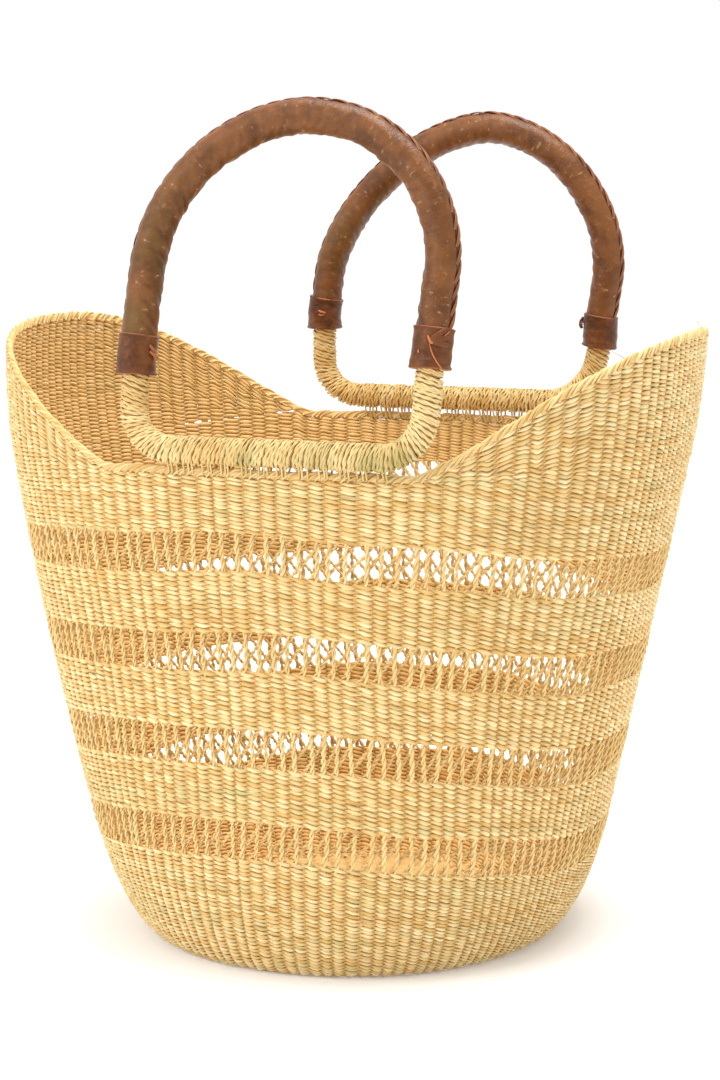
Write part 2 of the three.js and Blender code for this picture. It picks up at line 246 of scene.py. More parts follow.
def base_surface(phi, level):
    """The flat bottom, by distance outward from its edge, so that level is negative."""
    edge = outline(phi, 0 * phi, FOOT_TUCK)
    x = edge[..., 0] * (1 + level / (half_length(phi, 0) - FOOT_TUCK))
    y = edge[..., 1] * (1 + level / (LONG_SIDE["foot"] - FOOT_TUCK))
    return np.stack([x, y, WALL / 2 + 0 * x], axis=-1)


def surface_frame(surface, phi, level):
    """Points of a surface with its outward normal and its upward direction."""
    small = 1e-4
    point = surface(phi, level)
    along = surface(phi + small, level) - surface(phi - small, level)
    up = unit(surface(phi, level + small) - surface(phi, level - small))
    outward = unit(np.cross(along, up))
    return point, outward, up


# ---- where the stakes stand ----

def spread_angles():
    fine = np.linspace(-np.pi / 2, 1.5 * np.pi, 4001)
    length = distances_along(outline(fine, STAKE_LEVEL + 0 * fine, WALL / 2))
    return length / length[-1], fine


SPREAD_SHARE, SPREAD_ANGLE = spread_angles()


def smooth_knots(values, place):
    """Smooth closed curve through random values at whole places."""
    count = len(values)
    low = np.floor(place).astype(int)
    share = smooth_step(place - low)
    return values[low % count] * (1 - share) + values[(low + 1) % count] * share


STAKE_JITTER = rng.uniform(-0.13, 0.13, STAKES)
SWAY_WAVES = [(int(rng.integers(1, 7)), rng.uniform(9, 26), rng.uniform(0, 6.3)) for _ in range(4)]
LEVEL_WAVES = [(int(rng.integers(2, 11)), rng.uniform(8, 34), rng.uniform(0, 6.3)) for _ in range(5)]


def stake_angle(stake, z):
    """Plan angle of a place between stakes, at height z: the hand-made cords sway a little."""
    sway = sum(0.10 * np.sin(m * 2 * np.pi * stake / STAKES + n * z + p) for m, n, p in SWAY_WAVES)
    shifted = (stake + smooth_knots(STAKE_JITTER, stake) + sway) / STAKES
    turns = np.floor(shifted)
    return np.interp(shifted - turns, SPREAD_SHARE, SPREAD_ANGLE) + 2 * np.pi * turns


def level_wobble(phi, z):
    """How far the rows of the weave wander up and down."""
    return sum(0.33 * MM * np.sin(m * phi + n * z + p) for m, n, p in LEVEL_WAVES)


# ---- meshes made of swept strands ----

class StrandMesh:
    """Gathers swept strands and makes one object of them, with a flat UV layout strip by strip."""

    def __init__(self, name, sides=STRAND_SIDES, chunk=UV_CHUNK):
        self.name, self.sides, self.chunk = name, sides, chunk
        self.points, self.marks, self.fibres = [], [], []
        self.quads, self.caps, self.strips = [], [], []
        self.count = 0

    def add(self, path, across, outward, half_wide, half_thick, mark, closed=False):
        """One strand. across and outward are unit vectors at each point of path."""
        n = len(path)
        half_wide = np.broadcast_to(half_wide, (n,))
        half_thick = np.broadcast_to(half_thick, (n,))
        angle = np.arange(self.sides) / self.sides * 2 * np.pi
        wide = np.cos(angle)[None, :, None] * half_wide[:, None, None] * across[:, None, :]
        thick = np.sin(angle)[None, :, None] * half_thick[:, None, None] * outward[:, None, :]
        number = len(self.strips)
        fibre = np.empty((n, self.sides, 3))
        fibre[..., 0] = distances_along(path)[:, None] + number * 0.37
        fibre[..., 1] = np.cos(angle) + number * 3.1
        fibre[..., 2] = np.sin(angle)
        marks = np.broadcast_to(np.asarray(mark, float).reshape(-1, 1, 3), (n, self.sides, 3))
        turned = np.dot(np.cross(path[1] - path[0], outward[0]), across[0]) < 0
        self.add_rings(path[:, None, :] + wide + thick, marks, fibre, turned, closed)

    def add_rings(self, rings, marks, fibre, turned, closed):
        """Joins ring after ring. A strip that isn't closed gets a cap at each end."""
        n = len(rings)
        ring = np.arange(n if closed else n - 1)
        side = np.arange(self.sides)
        here = self.count + ring[:, None] * self.sides
        there = self.count + ((ring + 1) % n)[:, None] * self.sides
        following = (side + 1) % self.sides
        a, b, c, d = here + side, there + side, there + following, here + following
        order = (a, d, c, b) if turned else (a, b, c, d)
        self.quads.append(np.stack(order, axis=-1).reshape(-1, 4))
        if not closed:
            first = self.count + side
            last = first + (n - 1) * self.sides
            self.caps += [first, last[::-1]] if turned else [first[::-1], last]
        self.strips.append((len(ring), turned))
        for gathered, values in ((self.points, rings), (self.marks, marks), (self.fibres, fibre)):
            gathered.append(values.reshape(-1, 3))
        self.count += n * self.sides

    def uv_layout(self):
        """A cell of the unit square for every stretch of chunk rings, side by side."""
        chunk = self.chunk
        cells = sum(-(-length // chunk) for length, _ in self.strips)
        longest = min(chunk, max(length for length, _ in self.strips))
        columns = max(1, round(math.sqrt(cells * self.sides / longest)))
        rows = -(-cells // columns)
        layout = []
        cell = 0
        side = np.arange(self.sides)
        for length, turned in self.strips:
            ring = np.arange(length)
            index = cell + ring // chunk
            flat = np.empty((length, self.sides, 4, 2))
            corners = ((0, 0), (0, 1), (1, 1), (1, 0)) if turned else ((0, 0), (1, 0), (1, 1), (0, 1))
            for k, (ahead, around) in enumerate(corners):
                u = (index % columns + 0.02 + 0.96 * (ring % chunk + ahead) / longest) / columns
                v = (index // columns)[:, None] + 0.06 + 0.88 * (side + around) / self.sides
                flat[:, :, k, 0] = u[:, None]
                flat[:, :, k, 1] = v / rows
            layout.append(flat.reshape(-1, 2))
            cell += -(-length // chunk)
        return np.concatenate(layout)

    def build(self, material, body, slot, node=None):
        """Makes the object, which stands for a CAD node if one is named."""
        quads = np.concatenate(self.quads)
        loops = [quads.reshape(-1)]
        starts = [np.arange(len(quads)) * 4]
        uvs = [self.uv_layout()]
        if self.caps:
            caps = np.stack(self.caps)
            loops.append(caps.reshape(-1))
            starts.append(len(quads) * 4 + np.arange(len(caps)) * self.sides)
            uvs.append(np.full((caps.size, 2), 0.0005))
        loops, starts = np.concatenate(loops), np.concatenate(starts)

        mesh = bpy.data.meshes.new(self.name)
        mesh.vertices.add(self.count)
        mesh.vertices.foreach_set("co", as_floats(self.points))
        mesh.loops.add(len(loops))
        mesh.loops.foreach_set("vertex_index", loops.astype(np.int32))
        mesh.polygons.add(len(starts))
        mesh.polygons.foreach_set("loop_start", starts.astype(np.int32))
        mesh.polygons.foreach_set("use_smooth", np.ones(len(starts), bool))
        layer = mesh.uv_layers.new(name="OFBake")
        mesh.update(calc_edges=True)
        layer.uv.foreach_set("vector", as_floats(uvs))
        for title, values in (("mark", self.marks), ("fibre", self.fibres)):
            attribute = mesh.attributes.new(title, "FLOAT_VECTOR", "POINT")
            attribute.data.foreach_set("vector", as_floats(values))
        mesh.validate()
        mesh.materials.append(material)
        piece = bpy.data.objects.new(self.name, mesh)
        bpy.context.scene.collection.objects.link(piece)
        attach(piece, body)
        if node:
            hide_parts(node)


def as_floats(arrays):
    return np.concatenate(arrays).astype(np.float32).ravel()


def path_frames(path, outward_hint):
    """Across and outward unit vectors along a path, from a rough outward direction."""
    along = unit(np.gradient(path, axis=0))
    hint = np.broadcast_to(outward_hint, path.shape)
    outward = unit(hint - np.sum(hint * along, axis=1, keepdims=True) * along)
    return np.cross(outward, along), outward


# ---- materials ----

class Look:
    """A material whose nodes are made by short calls. Arguments are sockets or plain values."""

    def __init__(self, name, colour, roughness):
        self.material = bpy.data.materials.new(name)
        self.material.use_nodes = True
        self.material.diffuse_color = (*colour, 1)
        self.nodes = self.material.node_tree.nodes
        self.links = self.material.node_tree.links
        self.inputs = self.nodes["Principled BSDF"].inputs
        self.inputs["Base Color"].default_value = (*colour, 1)
        self.inputs["Roughness"].default_value = roughness

    def plug(self, value, socket):
        if isinstance(value, bpy.types.NodeSocket):
            self.links.new(value, socket)
        else:
            socket.default_value = (*value, 1) if socket.type == "RGBA" else value

    def node(self, kind, inputs, **settings):
        """A new node with its settings, and with its inputs by name or number."""
        node = self.nodes.new(f"ShaderNode{kind}")
        for title, value in settings.items():
            setattr(node, title, value)
        for title, value in inputs.items():
            self.plug(value, node.inputs[title])
        return node

    def mix(self, factor, first, second, blend="MIX"):
        inputs = {0: factor, 6: first, 7: second}
        return self.node("Mix", inputs, data_type="RGBA", blend_type=blend).outputs[2]

    def ramp(self, factor, low, high):
        """A smooth 0 to 1 share of factor between low and high."""
        inputs = {"Value": factor, "From Min": low, "From Max": high}
        return self.node("MapRange", inputs, interpolation_type="SMOOTHSTEP").outputs["Result"]

    def maths(self, operation, first, second):
        return self.node("Math", {0: first, 1: second}, operation=operation).outputs[0]

    def noise(self, source, scale, detail):
        """Noise that is drawn out: scale holds a factor for each axis of the source vector."""
        mapped = self.node("Mapping", {"Scale": scale, "Vector": source}).outputs["Vector"]
        inputs = {"Vector": mapped, "Scale": 1.0, "Detail": detail, "Roughness": 0.6}
        return self.node("TexNoise", inputs).outputs["Fac"]

    def place(self):
        return self.node("TexCoord", {}).outputs["Object"]

    def attribute(self, title):
        return self.node("Attribute", {}, attribute_name=title).outputs["Vector"]

    def parts(self, vector):
        return self.node("SeparateXYZ", {0: vector}).outputs

    def finish(self, colour, rough_source, rough_low, rough_high, height, strength, depth, shine):
        """The colour, a roughness that varies with one noise, and bumps from another."""
        inputs = {"Value": rough_source, "To Min": rough_low, "To Max": rough_high}
        rough = self.node("MapRange", inputs).outputs["Result"]
        inputs = {"Height": height, "Strength": strength, "Distance": depth}
        bump = self.node("Bump", inputs).outputs["Normal"]
        ends = {"Base Color": colour, "Roughness": rough, "Normal": bump, "Specular IOR Level": shine}
        for title, value in ends.items():
            self.plug(value, self.inputs[title])
        return self.material


def straw_material(name, pale, deep, inward_shade, green):
    """Dry grass. The mark attribute holds the strand's tone, with painted shade in the gaps, how far inside
    it is, which sets a painted warm shade, and its green.
    """
    look = Look(name, pale, STRAW_ROUGHNESS)
    fibre = look.attribute("fibre")
    mark = look.parts(look.attribute("mark"))
    streaks = look.noise(fibre, (90, 2.6, 2.6), 4.0)
    blotches = look.noise(fibre, (26, 0.25, 0.25), 2.0)
    patches = look.noise(look.place(), (16, 16, 34), 3.0)

    # mark[0] is the tone, which also carries the painted shade in the gaps between stakes
    colour = look.mix(mark[0], pale, deep)
    # Painted shade: mark[1] mixes in a deeper, warmer colour where the strand lies inward.
    colour = look.mix(look.maths("MULTIPLY", mark[1], 0.85), colour, inward_shade)
    green_patch = look.maths("MULTIPLY", look.ramp(patches, 0.53, 0.75), 0.30)
    colour = look.mix(look.maths("ADD", green_patch, mark[2]), colour, green)
    dark = look.maths("MULTIPLY", look.ramp(blotches, 0.56, 0.78), 0.45)
    colour = look.mix(dark, colour, (0.42, 0.24, 0.07))
    shaded = look.mix(1.0, colour, (0.82, 0.74, 0.58), "MULTIPLY")
    colour = look.mix(look.ramp(streaks, 0.38, 0.66), shaded, colour)
    return look.finish(
        colour, streaks, STRAW_ROUGHNESS - 0.12, STRAW_ROUGHNESS + 0.16, streaks, 0.6, 0.0005, 0.42)


def leather_material(name, light, dark, green, roughness, shine, wear_and_highlight_share):
    """Waxed leather. The mark attribute holds how deep a crease is, which sets a painted shade, raw edge, and
    green.
    """
    look = Look(name, light, roughness)
    fibre = look.attribute("fibre")
    mark = look.parts(look.attribute("mark"))
    place = look.place()
    clouds = look.noise(place, (48, 48, 48), 4.0)
    grain = look.noise(place, (1500, 1500, 1500), 4.0)
    wrinkles = look.noise(fibre, (520, 1.5, 1.5), 5.0)
    mottle = look.noise(place, (260, 260, 260), 3.0)

    colour = look.mix(look.ramp(clouds, 0.32, 0.60), dark, light)
    colour = look.mix(mark[2], colour, green)
    # Pale flecks, and pale streaks across the tube along the wrinkles: painted highlights, partly scuffs and
    # wear as well.
    scuff_and_painted_highlight = look.maths("MULTIPLY", look.ramp(mottle, 0.52, 0.74), 0.35)
    colour = look.mix(scuff_and_painted_highlight, colour, tuple(min(1.0, c * 1.7) for c in light))
    wear_and_painted_highlight = look.maths("MULTIPLY", look.ramp(wrinkles, 0.58, 0.70), look.ramp(mottle, 0.48, 0.60))
    colour = look.mix(look.maths("MULTIPLY", wear_and_painted_highlight, wear_and_highlight_share), colour, (0.52, 0.33, 0.19))
    # Painted shade: creases, wrinkle valleys and the seam's groove are coloured darker by mark[0].
    crease = look.maths("MULTIPLY", mark[0], 0.75)
    colour = look.mix(crease, colour, tuple(c * 0.35 for c in dark))
    colour = look.mix(mark[1], colour, (0.52, 0.16, 0.055))
    height = look.mix(0.45, look.mix(0.35, wrinkles, grain), mottle)
    return look.finish(
        colour, mottle, roughness - 0.14, roughness + 0.18, height, 0.8, 0.0012, shine)


def cane_material():
    look = Look("cane", (0.45, 0.29, 0.13), 0.6)
    grain = look.noise(look.place(), (60, 900, 60), 3.0)
    look.plug(look.mix(grain, (0.30, 0.18, 0.08), (0.55, 0.37, 0.18)), look.inputs["Base Color"])
    return look.material


PALE_GRASS = straw_material(
    "pale_grass", (0.90, 0.75, 0.43), (0.70, 0.45, 0.15), (0.88, 0.60, 0.25), (0.55, 0.52, 0.24))
GOLDEN_GRASS = straw_material(
    "golden_grass", (0.88, 0.69, 0.35), (0.74, 0.48, 0.17), (0.78, 0.50, 0.19), (0.60, 0.52, 0.22))
WRAP_GRASS = straw_material(
    "wrap_grass", (0.88, 0.72, 0.39), (0.70, 0.46, 0.16), (0.66, 0.42, 0.14), (0.40, 0.36, 0.12))
BROWN_LEATHER = leather_material(
    "brown_leather", (0.176, 0.063, 0.016), (0.102, 0.034, 0.008), (0.122, 0.074, 0.015), 0.30, 0.24, 0.60)
DARK_LEATHER = leather_material(
    "dark_leather", (0.140, 0.045, 0.010), (0.062, 0.017, 0.004), (0.08, 0.05, 0.03), 0.24, 0.22, 0.12)
THONG_LEATHER = leather_material(
    "thong_leather", (0.210, 0.078, 0.028), (0.110, 0.038, 0.015), (0.15, 0.10, 0.05), 0.38, 0.30, 0.0)


# ---- twined rows ----

def strand_tones(stake):
    """Tone and green of one strand, which changes where a new bundle of grass was joined in."""
    joins = np.sort(rng.uniform(0, STAKES, JOINS))
    bundle = np.searchsorted(joins, stake % STAKES)
    tones = rng.uniform(0, 1, JOINS + 1) ** 1.6 * 0.62
    is_green = rng.uniform(0, 1, JOINS + 1) < GREEN_BUNDLES
    greens = np.where(is_green, rng.uniform(0.15, 0.5, JOINS + 1), 0.0)
    stitch = np.floor(stake + 0.5).astype(int) % STAKES
    each = rng.uniform(-0.28, 0.30, STAKES)[stitch]
    return tones[bundle] + 0.12 + each, greens[bundle]


def twine_row(mesh, surface, stake, phi, level, height, closed, stride=1):
    """Two strands that twist round every stake between them. height is the row's own height."""
    point, outward, up = surface_frame(surface, phi, level)
    reach_now = 1 + 0.20 * smooth_knots(rng.uniform(-1, 1, STAKES), stake)
    stray = 0.09 * smooth_knots(rng.uniform(-1, 1, STAKES), stake) * height
    for shift in (0.0, np.pi):
        turn = np.pi * stake / stride + shift
        cosine, sine = np.cos(turn), np.sin(turn)
        swell = np.sign(cosine) * np.abs(cosine) ** 0.8
        stitch = np.floor(stake / stride + 0.5).astype(int)
        plump = rng.uniform(0.84, 1.16, STAKES + 2)[stitch % STAKES]
        lift = rng.uniform(-0.10, 0.10, STAKES + 2)[stitch % STAKES] * np.abs(cosine)
        fall = (-STITCH_FALL * sine + lift) * height + stray
        path = point + outward * (STRAND_REACH * reach_now * swell)[:, None] + up * fall[:, None]
        body = np.abs(cosine)
        half_wide = height * (STITCH_WIDTH + STITCH_SWELL * body) * plump
        half_thick = STRAND_HALF_THICK * (0.66 + 0.36 * body) * np.minimum(1, height / (2 * MM))
        tone, green = strand_tones(stake)
        # Painted shade: where the strand goes in behind a stake it takes the warm inward colour.
        inward_shade = np.clip(-1.6 * cosine, 0, 1)
        # Painted shade: the tone is deepened where the strand dips in between two stakes.
        tone = np.clip(tone + GAP_PAINTED_SHADE * (1 - body) ** 1.5, 0, 1)
        mark = np.stack([tone, inward_shade, green * (1 - inward_shade)], axis=1)
        mesh.add(path, up, outward, half_wide, half_thick, mark, closed)


def row_meshes(name, parts):
    return [StrandMesh(f"{name}_{part + 1}") for part in range(parts)]


def build_rows(meshes, node):
    """The first object of a band stands for its CAD node, and the others only add to it."""
    for part, mesh in enumerate(meshes):
        mesh.build(PALE_GRASS, "basket", "pale_grass", None if part else node)


def full_round(stride=1):
    count = STAKES * STEPS_PER_STITCH // stride
    return np.arange(count) / count * STAKES


def weave_base():
    meshes = row_meshes("base_rows", BASE_PARTS)
    depth = LONG_SIDE["foot"] - FOOT_TUCK
    rows = int(depth / BASE_ROW_PITCH)
    for k in range(rows):
        level_now = -(k + 0.5) * BASE_ROW_PITCH
        stride = 2 if k < rows * BASE_OUTER_SHARE else 4
        stake = full_round(stride)
        phi = stake_angle(stake, 0.0)
        level = np.full_like(phi, level_now)
        mesh = meshes[k * BASE_PARTS // rows]
        twine_row(mesh, base_surface, stake, phi, level, BASE_ROW_PITCH + 0 * phi, True, stride)
    build_rows(meshes, "base_weave")


def weave_foot():
    """The rounded foot, from the ground edge to the lowest lace."""
    stake = full_round()
    meshes = row_meshes("foot_rows", FOOT_PARTS)
    for k in range(FOOT_ROWS):
        share = (k + 0.5) / FOOT_ROWS
        z = FOOT_HEIGHT * share
        phi = stake_angle(stake, z)
        top = drooped(LACE_CENTRES[0] - LACE_HEIGHT / 2, phi) + level_wobble(phi, z)
        top_turn = np.arccos(np.clip(1 - (top - WALL / 2) / (FOOT_HEIGHT - WALL / 2), -1, 1))
        top_distance = np.interp(top_turn, PROFILE_TURN, PROFILE_DISTANCE)
        mesh = meshes[k * FOOT_PARTS // FOOT_ROWS]
        twine_row(mesh, foot_surface, stake, phi, top_distance * share, top_distance / FOOT_ROWS, True)
    build_rows(meshes, "dense_band_1")


def weave_band(number, bottom, top):
    """A plain dense band between two lace bands."""
    meshes = row_meshes(f"band_rows_{number}", BAND_PARTS)
    stake = full_round()
    rows = round((top - bottom) / BAND_ROW_PITCH)
    for k in range(rows):
        z = bottom + (top - bottom) * (k + 0.5) / rows
        phi = stake_angle(stake, z)
        level = drooped(z, phi) + level_wobble(phi, z)
        height = (top - bottom) / rows + 0 * phi
        twine_row(meshes[k * BAND_PARTS // rows], wall_surface, stake, phi, level, height, True)
    build_rows(meshes, f"dense_band_{number}")


def runs_of(present):
    """Start and end of every stretch of True values."""
    edges = np.flatnonzero(np.diff(np.concatenate([[0], present.astype(int), [0]])))
    return list(zip(edges[::2], edges[1::2]))


def weave_top_band(bottom):
    """The band up to the rim: level rows all round, and short rows above them that fill the ears."""
    stake = full_round()
    phi = stake_angle(stake, EAR_STAKE_LEVEL)
    low = drooped(bottom, phi) + level_wobble(phi, bottom)
    high = rim_top(phi) - TOP_ROW_DEPTH
    climb = np.clip((rim_top(phi) - RIM_FRONT) / (EAR_TOP - RIM_FRONT), 0, 1)
    short_rows = TOP_ROWS_AT_EARS - TOP_ROWS_AT_MIDDLE
    wanted = short_rows * climb
    weights = [np.ones_like(phi)] * TOP_ROWS_AT_MIDDLE
    for order in rng.permutation(short_rows):
        weights.append(smooth_step(np.clip((wanted - order) / SHORT_ROW_RUN_IN, 0, 1)))
    weights = np.array(weights)
    slit = np.clip(smooth_knots(rng.uniform(-0.2, 1.1, STAKES), stake), 0, 1)
    slit = slit * (np.sin(phi) > 0) * (np.cos(phi) < 0.4) * (np.cos(phi) > -0.85)
    total = weights.sum(axis=0) + slit
    above = np.cumsum(weights, axis=0) - weights / 2
    above[TOP_ROWS_AT_MIDDLE:] += slit

    meshes = row_meshes("ear_rows", EAR_PARTS)
    for row in range(TOP_ROWS_AT_EARS):
        mesh = meshes[row * EAR_PARTS // TOP_ROWS_AT_EARS]
        level = low + (high - low) * above[row] / total
        height = (high - low) / total * weights[row]
        if row < TOP_ROWS_AT_MIDDLE:
            twine_row(mesh, wall_surface, stake, phi, level, height, True)
            continue
        for begin, end in runs_of(weights[row] > 0.12):
            if end - begin > 2 * STEPS_PER_STITCH:
                cut = slice(begin, end)
                twine_row(mesh, wall_surface, stake[cut], phi[cut], level[cut], height[cut], False)
    build_rows(meshes, "dense_band_5")
    return low + (high - low) * (TOP_ROWS_AT_MIDDLE + slit / 2) / total, slit


def stand_stakes(slit_level, slit_share):
    """The flat upright cords inside the dense bands, narrower where the open slits are."""
    mesh = StrandMesh("stakes")
    edges = [WALL]
    for centre in LACE_CENTRES:
        edges += [centre - LACE_HEIGHT / 2, centre + LACE_HEIGHT / 2]
    for i in range(STAKES):
        for j in range(0, len(edges), 2):
            last = j + 1 >= len(edges)
            top = rim_top(stake_angle(np.array([float(i)]), EAR_STAKE_LEVEL))[0] - STAKE_TOP_DEPTH
            low, high = edges[j] + MM, top if last else edges[j + 1] - MM
            z = np.linspace(low, high, 40 if last else 9)
            phi = stake_angle(i + 0 * z, np.minimum(z, EAR_STAKE_LEVEL))
            level = drooped(z, phi)
            point, outward, _ = surface_frame(wall_surface, phi, level)
            nearby = wall_surface(stake_angle(i + 0.1 + 0 * z, np.minimum(z, EAR_STAKE_LEVEL)), level)
            wide = STAKE_COVER * 10 * np.linalg.norm(nearby - point, axis=1)
            if last:
                at_slit = np.exp(-((level - slit_level[i * STEPS_PER_STITCH]) / SLIT_REACH) ** 4)
                wide = wide * (1 - 0.5 * at_slit * (slit_share[i * STEPS_PER_STITCH] > 0.05))
            across, outward = path_frames(point, outward)
            mark = (rng.uniform(0.75, 1.0), 0.1, 0.0)
            mesh.add(point, across, outward, wide, 0.4 * MM, mark)
    mesh.build(PALE_GRASS, "basket", "pale_grass")


# ---- lace bands ----

def twisted_cord(mesh, path, outward_hint, radius, pitch, start, mark):
    """A cord of two plies twisted round each other along a path."""
    across, outward = path_frames(path, outward_hint)
    for shift in (0.0, np.pi):
        angle = 2 * np.pi * distances_along(path) / pitch + start + shift
        swing = np.cos(angle)[:, None] * across + np.sin(angle)[:, None] * outward
        ply = path + swing * radius * 0.52
        mesh.add(ply, across, outward, radius * 0.56, radius * 0.50, mark)


def lace_cord(mesh, stake, z, out, tones, inward_shade, radius, pitches):
    """One cord of a lace band. out is how far it stands off the wall's middle surface."""
    phi = stake_angle(stake, z)
    level = drooped(z, phi) + level_wobble(phi, z)
    point, outward, _ = surface_frame(wall_surface, phi, level)
    path = point + outward * out[:, None]
    mark = (rng.uniform(*tones), inward_shade, 0.0)
    thickness = radius * rng.uniform(0.85, 1.12)
    pitch = rng.uniform(*pitches) * MM
    twisted_cord(mesh, path, outward, thickness, pitch, rng.uniform(0, 6.3), mark)


def lace_cords(number, centre):
    """Upright cords outside and slanted ones inside, their ends tucked into the dense bands."""
    bottom, top = centre - LACE_HEIGHT / 2, centre + LACE_HEIGHT / 2
    uprights = StrandMesh(f"lace_uprights_{number}", 5)
    slants = StrandMesh(f"lace_slants_{number}", 5)
    share = np.linspace(0, 1, 22)
    z = bottom - UPRIGHT_TUCK + (top - bottom + 2 * UPRIGHT_TUCK) * share
    out = 0.9 * MM * np.sin(np.pi * share) + 0.2 * MM
    lean = rng.uniform(-0.12, 0.40, STAKES)
    for i in range(STAKES):
        bow = rng.uniform(-0.14, 0.14) * np.sin(np.pi * share) + rng.uniform(-0.08, 0.08)
        stake = i + lean[i] * (share - 0.5) + bow
        lace_cord(uprights, stake, z, out, (0.0, 0.55), 0.0, UPRIGHT_RADIUS, (9.5, 14))
    share = np.linspace(0, 1, 28)
    z = bottom - SLANT_TUCK + (top - bottom + 2 * SLANT_TUCK) * share
    out = -1.5 * MM * np.sin(np.pi * share) ** 0.5
    for i in range(STAKES):
        run = SLANT_RUN + rng.uniform(-0.25, 0.25)
        stake = i + 0.5 - run / 2 + run * share + rng.uniform(-0.1, 0.1)
        # The slanted cords inside the wall get a little painted inward shade.
        lace_cord(slants, stake, z, out, (0.1, 0.7), 0.15, SLANT_RADIUS, (6.5, 9))
    uprights.build(GOLDEN_GRASS, "basket", "golden_grass", f"lace_band_{number}")
    slants.build(GOLDEN_GRASS, "basket", "golden_grass")


# ---- the folded border ----

def border_path(stake, drop, out):
    """Points near the rim: drop is the depth below its top and out the distance outward."""
    phi = stake_angle(stake, EAR_STAKE_LEVEL)
    from_middle = np.abs(outline(phi, RIM_FRONT, 0)[..., 0])
    nearness = np.clip((LASHED_LENGTH - from_middle) / RIM_LIFT_FADE, 0, 1)
    level = rim_top(phi) + drop + RIM_LIFT * nearness * (np.sin(phi) < 0)
    point, outward, up = surface_frame(wall_surface, phi, level)
    return point + outward * out[:, None], outward, up


def fold_border():
    core = StrandMesh("rim_core", 8)
    stake = full_round()
    path, outward, up = border_path(stake, np.full_like(stake, -3.0 * MM), 0 * stake)
    core.add(path, up, outward, 2.2 * MM, 1.3 * MM, (0.6, 0.3, 0.0), closed=True)
    core.build(PALE_GRASS, "basket", "pale_grass")

    folds = StrandMesh("rim_folds")
    share = np.linspace(0, 1, 17)
    for i in np.arange(0, STAKES, 0.5):
        run = FOLD_RUN + rng.uniform(-0.3, 0.3)
        height = rng.uniform(-0.4, 0.6) * MM
        drop = -0.7 * MM + height - 4.2 * MM * np.abs(2 * share - 1) ** 2.2
        out = 1.75 * MM * np.cos(np.pi * share)
        path, outward, up = border_path(i + run * share + rng.uniform(-0.1, 0.1), drop, out)
        centre = path - outward * out[:, None] - up * 2.6 * MM
        across, facing = path_frames(path, path - centre)
        tone = rng.uniform(0.35, 1)
        # Painted shade: the inward half of each fold takes the warm inward colour.
        inward_shade = np.clip(2 * share - 1, 0, 1)
        mark = np.stack([tone + 0 * share, inward_shade * 0.7, 0 * share], axis=1)
        thick = 0.85 * MM * (0.6 + 0.4 * np.sin(np.pi * share))
        folds.add(path, across, facing, rng.uniform(0.75, 1.05) * MM, thick, mark)
    folds.build(PALE_GRASS, "basket", "pale_grass", "rim_border")


def stray_straws():
    """A few loose ends that stand out of the weave."""
    mesh = StrandMesh("stray_ends", 4)
    for _ in range(STRAY_ENDS):
        stake = rng.uniform(0, STAKES)
        phi = stake_angle(np.array([stake]), 0.3)
        near_rim = rng.uniform() < 0.55
        top = rim_top(phi)
        level = top - rng.uniform(1, 6) * MM if near_rim else np.array([rng.uniform(0.10, 0.31)])
        point, outward, up = surface_frame(wall_surface, phi, level)
        side = np.sign(rng.uniform(-1, 0.6))
        length = rng.uniform(4, 11) * MM
        bend = rng.uniform(-1, 1, 3) * 0.5
        share = np.linspace(0, 1, 7)[:, None]
        slide = np.cross(up, outward)
        way = outward * side * 0.5 + up * rng.uniform(-0.2, 0.9) + slide * rng.uniform(-1, 1)
        root = point + outward * side * 1.6 * MM
        path = root + unit(way) * length * share + bend * length * 0.4 * share ** 2
        across, facing = path_frames(path, outward)
        wide = 0.33 * MM * (1 - 0.6 * share[:, 0])
        mesh.add(path, across, facing, wide, 0.18 * MM, (rng.uniform(0, 1), 0.0, 0.0))
    mesh.build(PALE_GRASS, "basket", "pale_grass")


# ---- the handles ----

